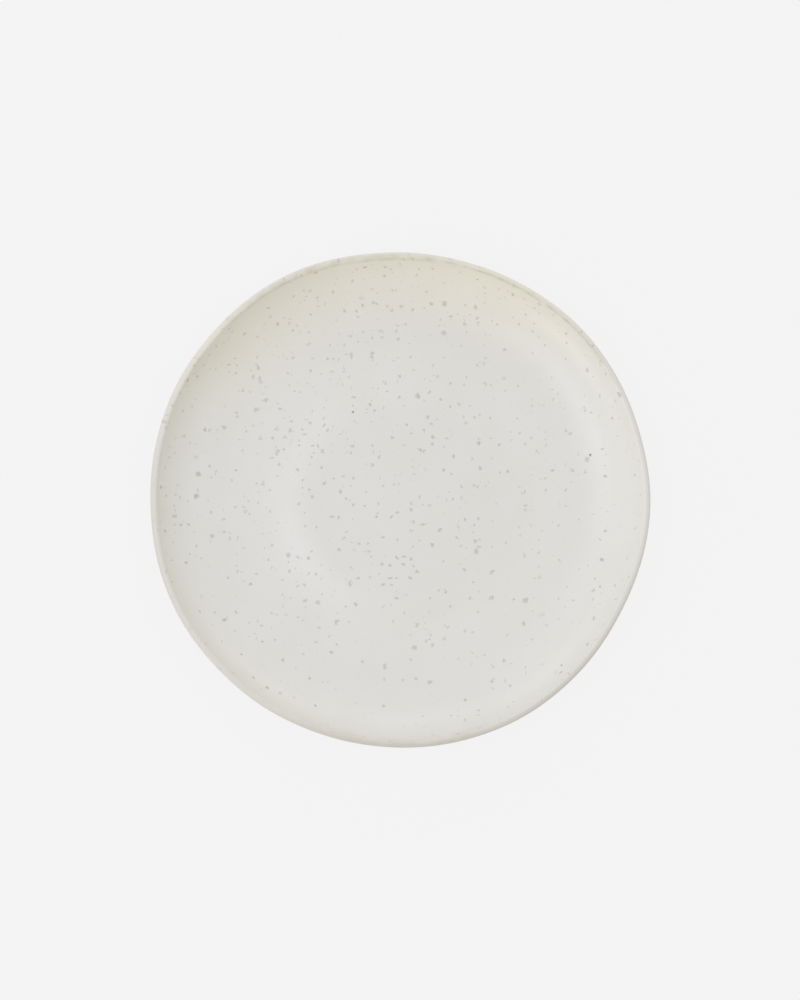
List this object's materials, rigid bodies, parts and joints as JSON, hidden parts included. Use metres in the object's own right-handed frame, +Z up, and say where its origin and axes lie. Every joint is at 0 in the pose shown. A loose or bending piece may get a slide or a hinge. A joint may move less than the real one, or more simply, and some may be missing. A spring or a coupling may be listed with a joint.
{
  "type": "breakfast plate",
  "caption": "Round coupe breakfast plate in speckled off-white glazed stoneware, with a flat well, a coved wall, a thin rounded lip and a dry foot ring.",
  "frame": {"origin": "middle of the foot ring, on the table", "axes": "+Z up out of the well, +X to the right and +Y away from the viewer as the picture shows the plate"},
  "size_m": [0.2203, 0.219, 0.024],
  "materials": {
    "stoneware": "fired clay, sponged smooth, dry and matt",
    "glaze": "satin off-white glaze with fine grey-beige specks"
  },
  "bodies": {
    "root": {"stoneware_body": "stoneware", "glaze_coat": "glaze", "base_glaze": "glaze"}
  },
  "joints": []
}
